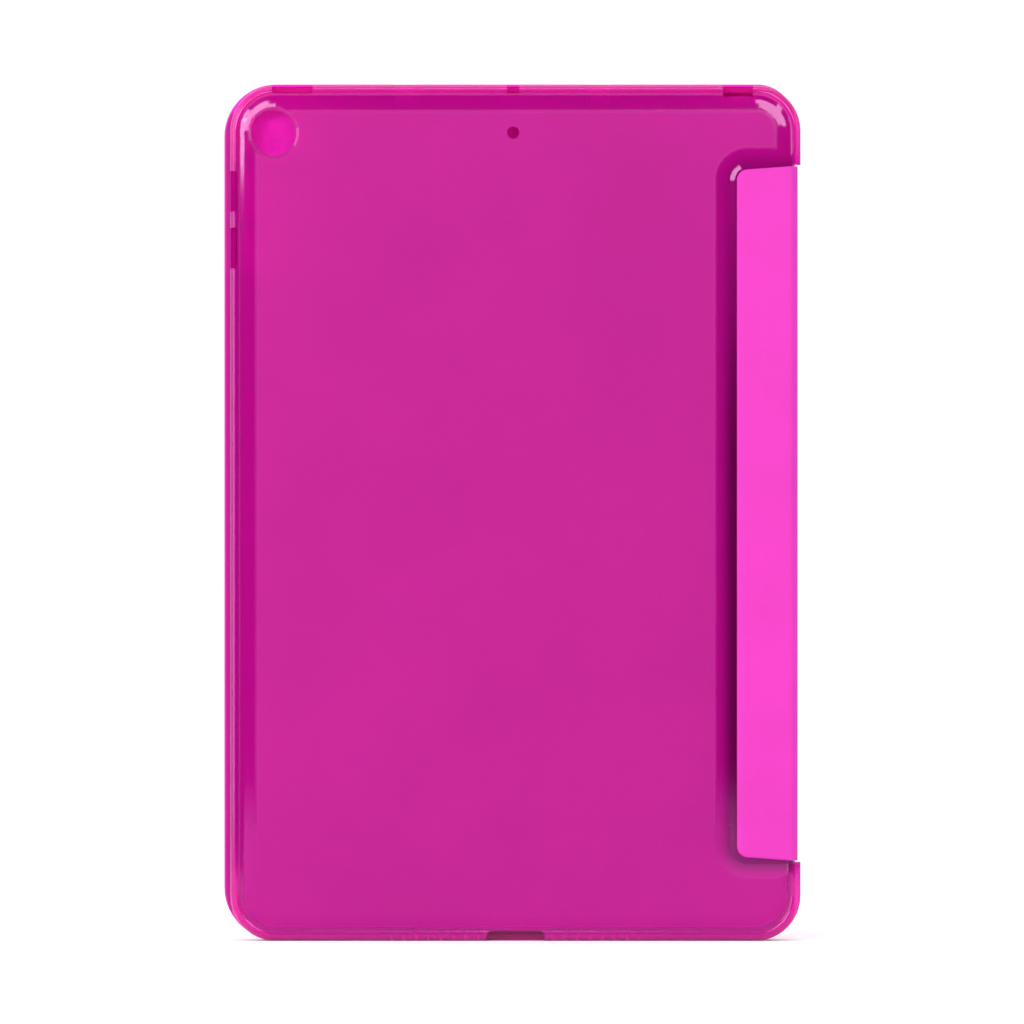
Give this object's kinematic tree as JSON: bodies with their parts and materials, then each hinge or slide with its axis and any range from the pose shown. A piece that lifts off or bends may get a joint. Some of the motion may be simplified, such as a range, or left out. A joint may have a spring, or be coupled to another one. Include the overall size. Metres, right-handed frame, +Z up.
{
  "type": "tablet case",
  "caption": "Folio tablet case: clear hard back shell with button and camera cut-outs, and a folding leather-look cover hinged on a spine glued to the back.",
  "frame": {"origin": "centre of the case's bottom edge, at mid width and mid thickness of its box", "axes": "+Z up the case's long side, +X to the right seen from the back, -Y out of the shell's back"},
  "size_m": [0.1394, 0.0114, 0.207],
  "materials": {
    "shell": "translucent, frosted back with a glossy border",
    "skin": "matte, fine grain",
    "lining": "brushed microfibre",
    "board": "grey card",
    "adhesive": "thin adhesive film",
    "carrier": "moulded",
    "magnet": "nickel plated",
    "steel": "rolled strip"
  },
  "bodies": {
    "shell": {"back_shell": "shell", "flap_skin": "skin", "flap_board": "board", "flap_adhesive": "adhesive", "hinge_web_back": "skin"},
    "spine": {"spine_skin": "skin", "spine_lining": "lining"},
    "panel_1": {"hinge_web_front": "skin", "cover_skin_1": "skin", "cover_board_1": "board", "cover_lining_1": "lining", "stand_plate": "steel", "fold_web_1": "skin"},
    "panel_2": {"cover_skin_2": "skin", "cover_board_2": "board", "cover_lining_2": "lining", "fold_web_2": "skin"},
    "panel_3": {"cover_skin_3": "skin", "cover_board_3": "board", "cover_lining_3": "lining", "magnet_carrier": "carrier", "edge_magnets": "magnet", "sleep_magnet": "magnet"}
  },
  "joints": [
    {"name": "spine_hinge", "type": "hinge", "parent": "shell", "child": "spine", "pos_m": [0.0683, -0.0045, 0.1032], "axis": [0, 0, -1], "range_deg": [0, 175], "deforming": ["hinge_web_back"]},
    {"name": "cover_hinge", "type": "hinge", "parent": "spine", "child": "panel_1", "pos_m": [0.0684, 0.0051, 0.1032], "axis": [0, 0, -1], "range_deg": [0, 175], "deforming": ["hinge_web_front"]},
    {"name": "fold_1", "type": "hinge", "parent": "panel_1", "child": "panel_2", "pos_m": [0.0211, 0.00525, 0.1032], "axis": [0, 0, 1], "range_deg": [0, 120], "deforming": ["fold_web_1"]},
    {"name": "fold_2", "type": "hinge", "parent": "panel_2", "child": "panel_3", "pos_m": [-0.026, 0.00525, 0.1032], "axis": [0, 0, 1], "range_deg": [0, 120], "deforming": ["fold_web_2"]}
  ],
  "couplings": [
    {"joint": "fold_1", "follows": "cover_hinge", "ratio": 0.68571},
    {"joint": "fold_2", "follows": "cover_hinge", "ratio": 0.68571}
  ]
}
